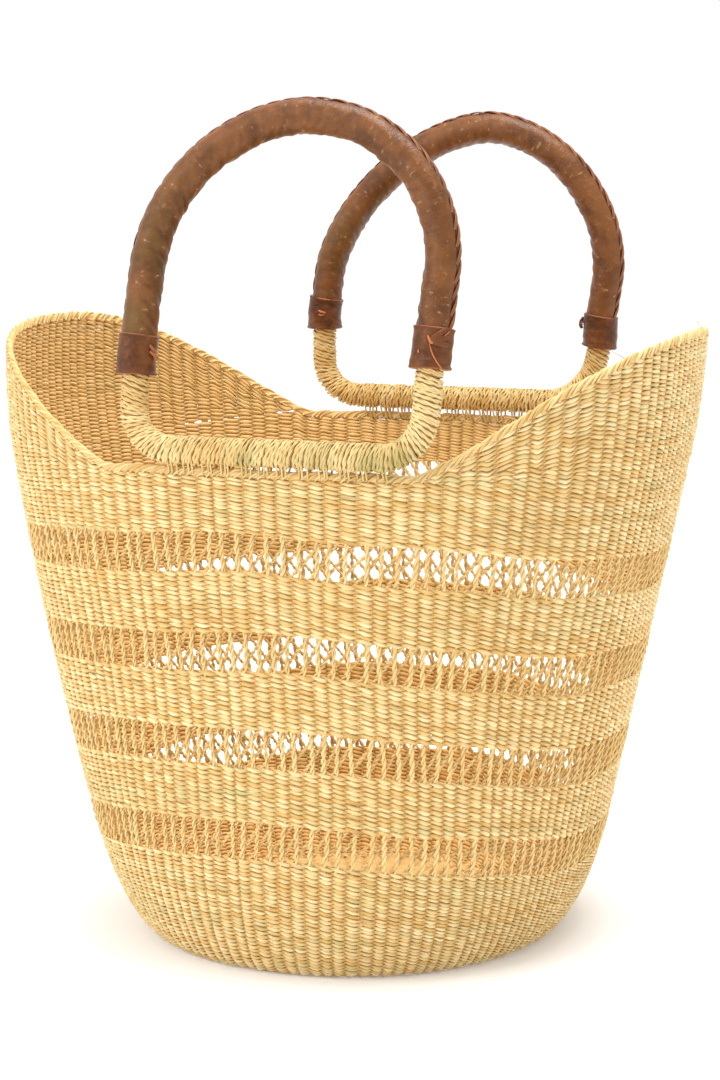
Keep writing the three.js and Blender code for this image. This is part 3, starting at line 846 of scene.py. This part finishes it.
class Hoop:
    """The centre line of a handle, by distance along it from the middle of the bar."""

    def __init__(self, law):
        self.law = law
        bar = law["half_width"] - HANDLE_CORNER
        corner = np.linspace(0, np.pi / 2, 30)
        arch = np.linspace(0, np.pi / 2, 160)
        power = 2 / law["roundness"]
        x = [np.linspace(0, bar, 40)[:-1], bar + HANDLE_CORNER * np.sin(corner)[:-1],
             np.full(29, law["half_width"]), law["half_width"] * np.cos(arch) ** power]
        h = [np.zeros(39), HANDLE_CORNER * (1 - np.cos(corner))[:-1],
             np.linspace(HANDLE_CORNER, law["spring"], 30)[:-1],
             law["spring"] + (law["top"] - law["spring"]) * np.sin(arch) ** power]
        x, h = np.concatenate(x), np.concatenate(h)
        x[-1] = 0.0
        near_bar = np.clip(1 - h / law["cuff_right"], 0, 1)
        x = np.concatenate([x * (1 - law["pinch"] * near_bar ** 2), -x[-2:0:-1]])
        h = np.concatenate([h, h[-2:0:-1]])
        rise = np.clip((h - law["cuff_left"]) / (law["top"] - law["cuff_left"]), 0, 1)
        self.x = np.append(x + law["skew"] * rise, x[0])
        self.h = np.append(h, h[0])
        self.distance = distances_along(np.stack([self.x, self.h], axis=1))
        self.length = self.distance[-1]

    def cuff_at(self, side):
        """Distance along the line of the middle of the cuff on one side."""
        half = len(self.h) // 2
        if side == "right":
            return float(np.interp(self.law["cuff_right"], self.h[40:half], self.distance[40:half]))
        return float(np.interp(-self.law["cuff_left"], -self.h[half:-40], self.distance[half:-40]))

    def around(self, distance, angle):
        """Points on the line, and the direction away from it, at an angle from the hoop's outside."""
        place = distance % self.length
        x = np.interp(place, self.distance, self.x)
        h = np.interp(place, self.distance, self.h)
        ahead, behind = (distance + 0.002) % self.length, (distance - 0.002) % self.length
        dx = np.interp(ahead, self.distance, self.x) - np.interp(behind, self.distance, self.x)
        dh = np.interp(ahead, self.distance, self.h) - np.interp(behind, self.distance, self.h)
        size = np.hypot(dx, dh)
        dx, dh = dx / size, dh / size
        zero = np.zeros_like(x)
        point = self.turn(np.stack([x, zero, h], axis=-1))
        point = point + np.array([self.law["bar_x"], self.law["bar_y"], self.law["bar_z"]])
        outward = self.turn(np.stack([dh, zero, -dx], axis=-1))
        facing = self.turn(np.stack([zero, zero - 1, zero], axis=-1))
        return point, np.cos(angle)[..., None] * outward + np.sin(angle)[..., None] * facing

    def turn(self, vectors):
        lean = math.radians(self.law["lean"])
        cosine, sine = math.cos(lean), math.sin(lean)
        x, y, z = vectors[..., 0], vectors[..., 1], vectors[..., 2]
        return np.stack([x, y * cosine + z * sine, z * cosine - y * sine], axis=-1)


def wind_straw(hoop):
    """The two-ply grass cord wound round the bar and the legs, its whole length in its turns."""
    law = hoop.law
    local = np.random.default_rng(law["seed"])
    begin = hoop.cuff_at("left") - hoop.length
    end = hoop.cuff_at("right")
    turns = int((end - begin) / law["wrap_pitch"])
    turn = np.arange(turns * WRAP_STEPS) / WRAP_STEPS
    jitter = smooth_knots(local.uniform(-0.30, 0.30, turns), turn)
    bump = smooth_knots(local.uniform(-0.25, 0.25, turns * 3), turn * 3) * MM
    centre = begin + (end - begin) * (turn + jitter) / turns
    angle = 2 * np.pi * turn
    tilt = WRAP_TILT + 0.08 * smooth_knots(local.uniform(-1, 1, 40), turn / 9)
    distance = centre - tilt * law["bar"] * np.cos(angle)
    point, ray = hoop.around(distance, angle)
    path = point + ray * (law["bar"] - WRAP_DEPTH + bump)[:, None]
    across, out = path_frames(path, ray)

    x_here = np.interp(centre % hoop.length, hoop.distance, hoop.x)
    on_bar = np.interp(centre % hoop.length, hoop.distance, hoop.h) < 0.012
    green = np.where(on_bar & (x_here > law["green_from"]), 1.0, 0.0)
    clumps = np.clip(smooth_knots(local.uniform(-0.6, 1.3, 64), turn / 3.5), 0, 1)
    lower = 0.35 + 0.45 * np.clip(np.cos(angle) * 0.8 + 0.3, 0, 1)
    green = green * clumps * lower
    tone = smooth_knots(local.uniform(-0.1, 0.7, 90), turn / 2.2) + law["gold"]
    ply_turn = 2 * np.pi * turn * WRAP_PLY_TWISTS + 1.2 * smooth_knots(local.uniform(-1, 1, turns), turn)
    mesh = StrandMesh(f"{law['name']}_wound_straw", 5)
    for shift in (0.0, np.pi):
        swing, rise = np.cos(ply_turn + shift), np.sin(ply_turn + shift)
        ply = path + across * (WRAP_PLY_SWING * swing)[:, None] + out * (WRAP_PLY_RISE * rise)[:, None]
        # Painted shade: the ply that dips under the other gets a deeper tone.
        shade = np.clip(tone + 0.45 * np.clip(-rise, 0, 1) + local.uniform(-0.1, 0.1), 0, 1)
        mark = np.stack([shade, 0.12 + 0 * shade, green], axis=1)
        mesh.add(ply, across, out, WRAP_PLY_WIDE, WRAP_PLY_THICK, mark)
    under = slice(0, None, 2)
    mesh.add((point + ray * (law["bar"] - UNDERLAY_DEPTH))[under], across[under], out[under],
             law["wrap_pitch"] * 0.75, 0.3 * MM, (0.9, 0.4, 0.0))
    mesh.build(WRAP_GRASS, law["name"], "wrap_grass", f"{law['name']}_straw_wrap")


def rim_line(front):
    """The rim's middle line along one long side: x, y and the height of its top."""
    middle = -np.pi / 2 if front else np.pi / 2
    phi = middle + np.linspace(-0.6, 0.6, 121)
    top = rim_top(phi)
    point = outline(phi, top, WALL / 2)
    order = np.argsort(point[:, 0])
    return point[order, 0], point[order, 1], top[order]


def lash_bar(law):
    """Loops of grass round the bar and the border below it, in which the bar turns."""
    name = law["name"].replace("handle", "lashing")
    local = np.random.default_rng(law["seed"] + 40)
    mesh = StrandMesh(f"{name}_loops", 5)
    in_front = law["bar_y"] < 0
    side = 1 if in_front else -1
    depth = LASH_DEPTH_FRONT if in_front else LASH_DEPTH_REAR
    loop_radius = LASH_LOW_RADIUS_FRONT if in_front else LASH_LOW_RADIUS_REAR
    rim_x, rim_y, rim_z = rim_line(in_front)
    upper = np.array([law["bar_y"], law["bar_z"]])
    angle = np.arange(LASH_STEPS) / LASH_STEPS * 2 * np.pi
    up_share = smooth_step(np.clip(0.5 + 1.4 * np.sin(angle), 0, 1))
    for i in range(LASHING_TURNS + 1):
        x = law["bar_x"] + (i - LASHING_TURNS / 2) * LASHING_PITCH + local.uniform(-1, 1) * MM
        lower = np.array([np.interp(x, rim_x, rim_y), np.interp(x, rim_x, rim_z) - depth])
        for strand in range(LASH_STRANDS):
            low_radius = loop_radius + local.uniform(-0.2, 0.4) * MM
            radius = low_radius + (law["bar"] + LASH_LIFT - low_radius) * up_share
            centre = lower + (upper - lower) * up_share[:, None]
            y = centre[:, 0] + radius * np.cos(angle)
            z = centre[:, 1] + radius * np.sin(angle)
            slant = LASH_SLANT * np.sin(angle) * side + local.uniform(-0.5, 0.5) * MM * np.cos(angle)
            shift = (strand - (LASH_STRANDS - 1) / 2) * LASH_SPACING + local.uniform(-0.3, 0.3) * MM
            path = np.stack([x + shift + slant, y, z], axis=1)
            ray = np.stack([0 * angle, np.cos(angle), np.sin(angle)], axis=1)
            along = unit(np.roll(path, -1, axis=0) - np.roll(path, 1, axis=0))
            across = unit(np.cross(ray, along))
            mark = (local.uniform(0.1, 0.8), 0.25, local.uniform(0, 0.3))
            mesh.add(path, across, ray, LASH_HALF_WIDE, LASH_HALF_THICK, mark, closed=True)
    mesh.build(WRAP_GRASS, "basket", "golden_grass", name)


def crease_field(local, along_count, around_count):
    """Random folds, closed round the tube and much finer along it than round it."""
    values = local.uniform(-1, 1, (along_count, around_count))

    def look_up(along, around):
        i = np.floor(along).astype(int)
        j = np.floor(around).astype(int)
        s, t = smooth_step(along - i), smooth_step(around - j)
        i0, i1 = i % along_count, (i + 1) % along_count
        j0, j1 = j % around_count, (j + 1) % around_count
        first = values[i0, j0] * (1 - t) + values[i0, j1] * t
        second = values[i1, j0] * (1 - t) + values[i1, j1] * t
        return first * (1 - s) + second * s

    return look_up


def tube_piece(name, hoop, distance, radius_at, bore, sides, material, slot, marks_at, node):
    """A closed tube wall, outside up one way and back down its bore. distance has to fall."""
    angle = np.arange(sides) / sides * 2 * np.pi
    s_grid, a_grid = np.meshgrid(distance, angle, indexing="ij")
    point, ray = hoop.around(s_grid, a_grid)
    outer = point + ray * radius_at(s_grid, a_grid)[..., None]
    back = np.unique(np.ceil(np.linspace(0, len(distance) - 1, BORE_RINGS)).astype(int))[::-1]
    rings = np.concatenate([outer, (point + ray * bore)[back]])
    marks = marks_at(s_grid, a_grid)
    fibre = np.stack([s_grid, np.cos(a_grid), np.sin(a_grid)], axis=-1)
    mesh = StrandMesh(name, sides, len(rings))
    mesh.add_rings(rings, np.concatenate([marks, marks[back]]), np.concatenate([fibre, fibre[back]]),
                   turned=True, closed=True)
    mesh.build(material, hoop.law["name"], slot, node)


def near_seam(a, low_width, high_width):
    """1 at either edge of the strip that the seam's thong covers, and 0 away from it."""
    around = a % (2 * np.pi)
    low = np.exp(-((around - 2 * np.pi + SEAM_LOW) / low_width) ** 2)
    return low + np.exp(-((around - SEAM_HIGH) / high_width) ** 2)


def leather_sleeve(hoop):
    """The grip: a leather skin, creased across where the arch bends it, with its seam outside."""
    law = hoop.law
    local = np.random.default_rng(law["seed"] + 5)
    begin = hoop.cuff_at("right")
    end = hoop.cuff_at("left")
    length = end - begin
    fine = crease_field(local, 121, 9)
    broad = crease_field(local, 47, 5)
    lumps = crease_field(local, 19, 4)

    def field(s, a):
        t = (s - begin) / length
        around = a / (2 * np.pi)
        inner_side = np.clip(-np.cos(a), 0, 1)
        twist = 3.5 * np.sin(a)
        crease = fine(t * 120 + twist, around * 9)
        fold = broad(t * 46 + 0.6 * twist, around * 5)
        lump = lumps(t * 18, around * 4)
        return crease, fold, lump, inner_side

    def radius_at(s, a):
        crease, fold, lump, inner_side = field(s, a)
        deep = (0.14 + 0.50 * inner_side ** 1.2) * MM
        swell = crease * deep + fold * 0.30 * MM + lump * 0.35 * MM
        return law["grip"] - 0.45 * MM + swell - 0.9 * MM * near_seam(a, 0.06, 0.05)

    def marks_at(s, a):
        crease, fold, lump, inner_side = field(s, a)
        # Painted shade in the crease valleys and in the seam's groove.
        crease_shade = np.clip(-crease * (0.25 + 0.6 * inner_side) - fold * 0.2, 0, 1)
        seam_groove_shade = near_seam(a, 0.07, 0.07)
        left_low = np.clip(((s - begin) / length - 0.62) / 0.3, 0, 1)
        green = 0.55 * left_low * np.clip(0.6 + lump, 0, 1)
        return np.stack([np.clip(crease_shade + seam_groove_shade, 0, 1), 0 * s, green], axis=-1)

    tube_piece(
        f"{law['name']}_grip", hoop, np.linspace(end, begin, 480), radius_at, GRIP_BORE, 48,
        BROWN_LEATHER, "brown_leather", marks_at, f"{law['name']}_leather_sleeve")


def seam_stitches(hoop):
    """The thong that is whipped over the seam along the outside of the grip."""
    law = hoop.law
    local = np.random.default_rng(law["seed"] + 9)
    begin = hoop.cuff_at("right") + law["cuff_length"] / 2
    end = hoop.cuff_at("left") - law["cuff_length"] / 2
    mesh = StrandMesh(f"{law['name']}_seam_thong", 8)
    at_edge = np.abs(np.cos(np.arange(8) / 8 * 2 * np.pi)) > 0.9
    share = np.linspace(0, 1, 12)
    for i in range(int((end - begin) / SEAM_PITCH)):
        start = begin + i * SEAM_PITCH + local.uniform(-0.6, 0.6) * MM
        distance = start - 0.2 * SEAM_PITCH + 1.45 * SEAM_PITCH * share
        angle = 0.34 - 0.66 * share
        point, ray = hoop.around(distance, angle)
        reach = law["grip"] - 0.75 * MM + 0.70 * MM * np.sin(np.pi * share) ** 0.7
        path = point + ray * reach[:, None]
        across, out = path_frames(path, ray)
        wide = (0.5 + 1.35 * np.sin(np.pi * share) ** 0.6) * MM
        mark = (0.10, 0.02 + local.uniform(0, 0.12), 0.0)
        mesh.add(path, across, out, wide, 0.55 * MM, mark)
        marks = mesh.marks[-1].copy().reshape(len(share), 8, 3)
        marks[:, at_edge, 1] = 0.45
        mesh.marks[-1] = marks.reshape(-1, 3)
    mesh.build(THONG_LEATHER, law["name"], "raw_leather", f"{law['name']}_seam_lacing")


def leather_cuff(hoop, side):
    """A strip of dark leather wound over the end of the grip, with a torn and rolled lower edge."""
    law = hoop.law
    way, own_seed = (1, 20) if side == "right" else (-1, 21)
    local = np.random.default_rng(law["seed"] + own_seed)
    half = law["cuff_length"] / 2
    middle = hoop.cuff_at(side)
    fine = crease_field(local, 40, 30)
    broad = crease_field(local, 8, 7)
    torn = crease_field(local, 3, 17)

    def field(s, a):
        up = way * (s - middle) / half
        around = a / (2 * np.pi)
        return up, around, broad(up * 3 + 4, around * 7), fine(up * 4 + 9, around * 30)

    def radius_at(s, a):
        up, around, lift, wrinkle = field(s, a)
        lip = np.exp(-((up + 0.93) / 0.10) ** 2) * (0.55 + 0.5 * torn(up * 0 + 1, around * 17))
        top_lip = np.exp(-((up - 0.95) / 0.08) ** 2) * 0.35
        edge = np.clip((np.abs(up) - 0.96) / 0.04, 0, 1)
        return law["cuff"] - 0.2 * MM + (0.35 * lift + 0.12 * wrinkle + 0.8 * lip + top_lip - 0.6 * edge) * MM

    def marks_at(s, a):
        up, around, lift, wrinkle = field(s, a)
        # Painted shade in the wrinkle valleys.
        crease_shade = np.clip(-wrinkle * 0.5 - lift * 0.4, 0, 1)
        raw = np.exp(-((np.abs(up) - 1.0) / 0.04) ** 2) * np.clip(0.1 + torn(up * 0, around * 17), 0, 0.6)
        return np.stack([crease_shade, raw, 0 * s], axis=-1)

    name = f"{law['name']}_cuff_{side}"
    tube_piece(
        f"{name}_leather", hoop, np.linspace(middle + half, middle - half, 40), radius_at, CUFF_BORE, 56,
        DARK_LEATHER, "dark_leather", marks_at, name)


def strap(mesh, hoop, side, points, wide, thick, mark):
    """One thong, swept through softened points."""
    law = hoop.law
    way = 1 if side == "right" else -1
    rough = np.array(points, float)
    knots = np.linspace(0, 1, len(rough))
    fine = np.linspace(0, 1, 6 * (len(rough) - 1) + 1)

    def softened(k):
        values = np.interp(fine, knots, rough[:, k])
        return np.convolve(np.pad(values, 2, mode="edge"), np.ones(5) / 5, "valid")

    up, angle, off = softened(0), softened(1), softened(2)
    distance = hoop.cuff_at(side) + way * up * law["cuff_length"] / 2
    point, ray = hoop.around(distance, np.pi / 2 - way * np.radians(angle))
    path = point + ray * (law["cuff"] + off * MM)[:, None]
    across, out = path_frames(path, ray)
    taper = np.sin(np.pi * np.clip(fine * 0.9 + 0.05, 0, 1)) ** 0.4
    mesh.add(path, across, out, wide * MM * taper, thick * MM, mark)


# The thongs on the cuffs. Each has its points (share up the cuff, angle round it, height off it in mm),
# half its width and half its thickness in mm, and its mark.
FOLDED_FLAP = [
    ([(0.30, 8, 0.4), ((0.30 + up) / 2, 12 + angle / 3, 1.3), (up, angle, 0.5)], 1.9, 0.45, (0.3, 0.12, 0))
    for up, angle in ((0.95, 52), (0.55, 66), (0.15, 70))
]
THONGS = {
    "front_handle": {
        "right": FOLDED_FLAP + [
            ([(0.55, 2, 0.3), (0.35, 8, 1.2), (0.18, 14, 0.9), (0.30, 22, 0.5)], 0.8, 0.5, (0, 0.95, 0)),
            ([(0.22, 8, 0.6), (-0.3, 20, 0.7), (-0.75, 38, 0.6), (-1.0, 52, 0.4)], 0.45, 0.4, (0, 1, 0)),
            ([(0.9, 66, 0.4), (0.5, 40, 0.8), (0.3, 10, 0.6)], 0.4, 0.35, (0, 0.9, 0)),
            ([(-0.18, -22, 0.0), (-0.26, -20, 0.4), (-0.32, -18, 0.0)], 0.6, 0.3, (0, 1, 0)),
        ],
        "left": [
            ([(0.25, 62, -0.6), (0.05, 76, 1.4), (-0.12, 84, 1.8), (-0.2, 74, 0.4)], 1.5, 1.0, (0.2, 0.5, 0)),
            ([(0.55, 55, 0.0), (0.3, 70, 1.6), (0.15, 86, 0.4)], 1.1, 0.8, (0.4, 0.35, 0)),
        ],
    },
    "rear_handle": {
        "right": [
            ([(0.75, -78, -0.4), (0.55, -88, 2.0), (0.3, -94, 2.6), (0.2, -80, 0.6)],
             1.7, 1.1, (0.35, 0.15, 0)),
            ([(0.6, -60, 0.0), (0.5, -72, 1.2), (0.35, -84, 0.6)], 0.9, 0.7, (0.2, 0.3, 0)),
        ],
        "left": [
            ([(0.22, -4, -0.2), (0.15, 8, 0.9), (0.1, 24, -0.2)], 0.8, 0.4, (0, 1, 0)),
            ([(-0.02, -2, -0.2), (-0.1, 8, 0.7), (-0.02, 20, -0.2)], 0.55, 0.4, (0, 0.9, 0)),
        ],
    },
}


def cuff_thongs(hoop):
    """The knotted thong ends that hold the cuffs."""
    name = hoop.law["name"]
    for side, material in (("right", DARK_LEATHER), ("left", THONG_LEATHER)):
        mesh = StrandMesh(f"{name}_thong_{side}", 8)
        for points, wide, thick, mark in THONGS[name][side]:
            strap(mesh, hoop, side, points, wide, thick, mark)
        mesh.build(material, name, "raw_leather", f"{name}_thong_knot_{side}")


def build_handle(law):
    hoop = Hoop(law)
    wind_straw(hoop)
    lash_bar(law)
    leather_sleeve(hoop)
    seam_stitches(hoop)
    leather_cuff(hoop, "right")
    leather_cuff(hoop, "left")
    cuff_thongs(hoop)
    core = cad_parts[f"{law['name']}_cane_core"]
    core.data.materials[0] = CANE


def build_basket():
    weave_base()
    weave_foot()
    for i, centre in enumerate(LACE_CENTRES):
        lace_cords(i + 1, centre)
        if i + 1 < len(LACE_CENTRES):
            weave_band(i + 2, centre + LACE_HEIGHT / 2, LACE_CENTRES[i + 1] - LACE_HEIGHT / 2)
    slit_level, slit_share = weave_top_band(LACE_CENTRES[-1] + LACE_HEIGHT / 2)
    stand_stakes(slit_level, slit_share)
    fold_border()
    stray_straws()


# ---- floor, light and camera ----

def add_floor():
    bpy.ops.mesh.primitive_plane_add(size=FLOOR_SIZE, location=(0, 0, 0))
    floor = bpy.context.object
    floor.name = "floor"
    look = Look("floor", (0.92, 0.92, 0.92), 0.85)
    look.inputs["Emission Color"].default_value = (1, 1, 1, 1)
    look.inputs["Emission Strength"].default_value = 0.12
    floor.data.materials.append(look.material)


def add_aimed(name, data, position, aim):
    """A lamp or a camera that looks from its place to the point aim."""
    holder = bpy.data.objects.new(name, data)
    holder.location = position
    holder.rotation_mode = "QUATERNION"
    holder.rotation_quaternion = (Vector(aim) - Vector(position)).to_track_quat("-Z", "Y")
    bpy.context.scene.collection.objects.link(holder)
    return holder


def add_lights():
    world = bpy.data.worlds.new("studio")
    world.use_nodes = True
    background = world.node_tree.nodes["Background"]
    background.inputs["Color"].default_value = (1, 1, 1, 1)
    background.inputs["Strength"].default_value = 1.0
    bpy.context.scene.world = world
    lamps = (("key", (-1.7, -2.2, 1.9), 2.0, 38), ("top", (0.2, 0.05, 2.3), 1.2, 48))
    for name, position, size, power in lamps:
        light = bpy.data.lights.new(name, "AREA")
        light.shape = "DISK"
        light.size = size
        light.energy = power
        add_aimed(name, light, position, LIGHT_AIM)


def add_camera():
    camera = bpy.data.cameras.new("camera")
    camera.lens = CAMERA_LENS
    camera.clip_end = 100
    bpy.context.scene.camera = add_aimed("camera", camera, CAMERA_PLACE, CAMERA_AIM)


bpy.context.scene.view_settings.view_transform = "Standard"
CANE = cane_material()
add_camera()
add_floor()
add_lights()
build_basket()
build_handle(FRONT_HANDLE)
build_handle(REAR_HANDLE)
